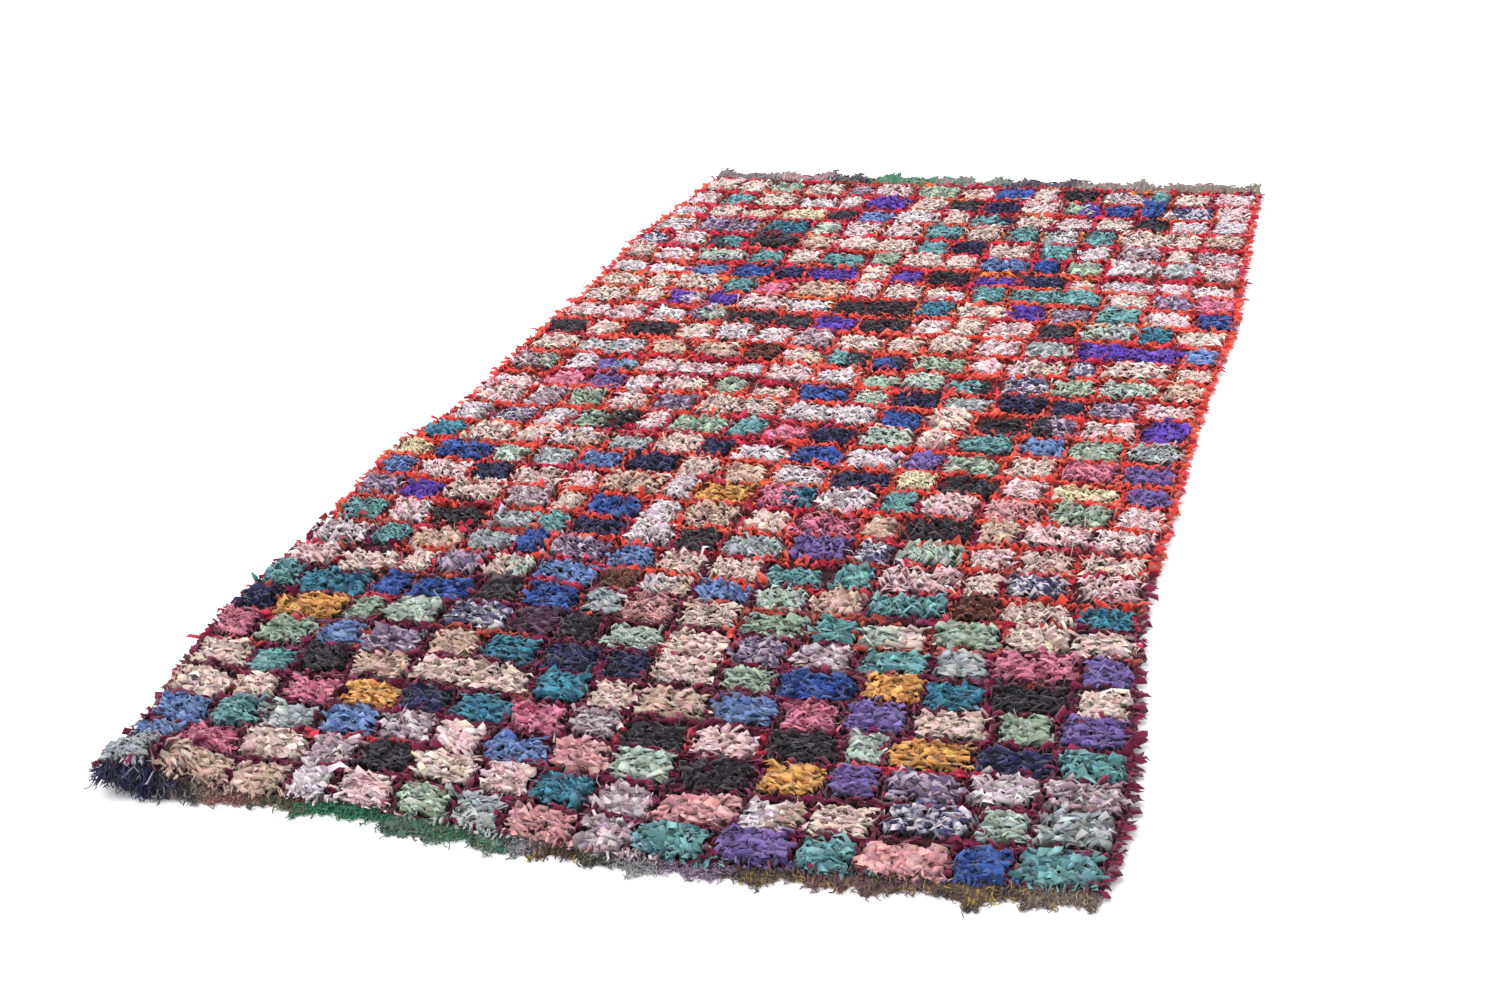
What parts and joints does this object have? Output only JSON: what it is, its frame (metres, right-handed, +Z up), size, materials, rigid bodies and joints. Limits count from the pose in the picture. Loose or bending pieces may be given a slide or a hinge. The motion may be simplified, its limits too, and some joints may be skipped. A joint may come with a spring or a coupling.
{
  "type": "boucherouite rug",
  "caption": "Long hand-knotted rag rug with a soft shaggy pile of small coloured boxes, frayed end webs and one rippled corner.",
  "frame": {"origin": "on the floor, at the centre of the rug's box", "axes": "+Y along the rug from its near end to its far end, +Z up out of the pile, +X to the right"},
  "size_m": [1.3215, 2.635, 0.0676],
  "materials": {
    "rag_pile": "matte crumpled rag knots of cotton and jersey in many colours",
    "end_web": "matte frayed knit web with a few glinting threads"
  },
  "bodies": {
    "root": {"pile": "rag_pile", "web_near": "end_web", "web_far": "end_web"}
  },
  "joints": []
}
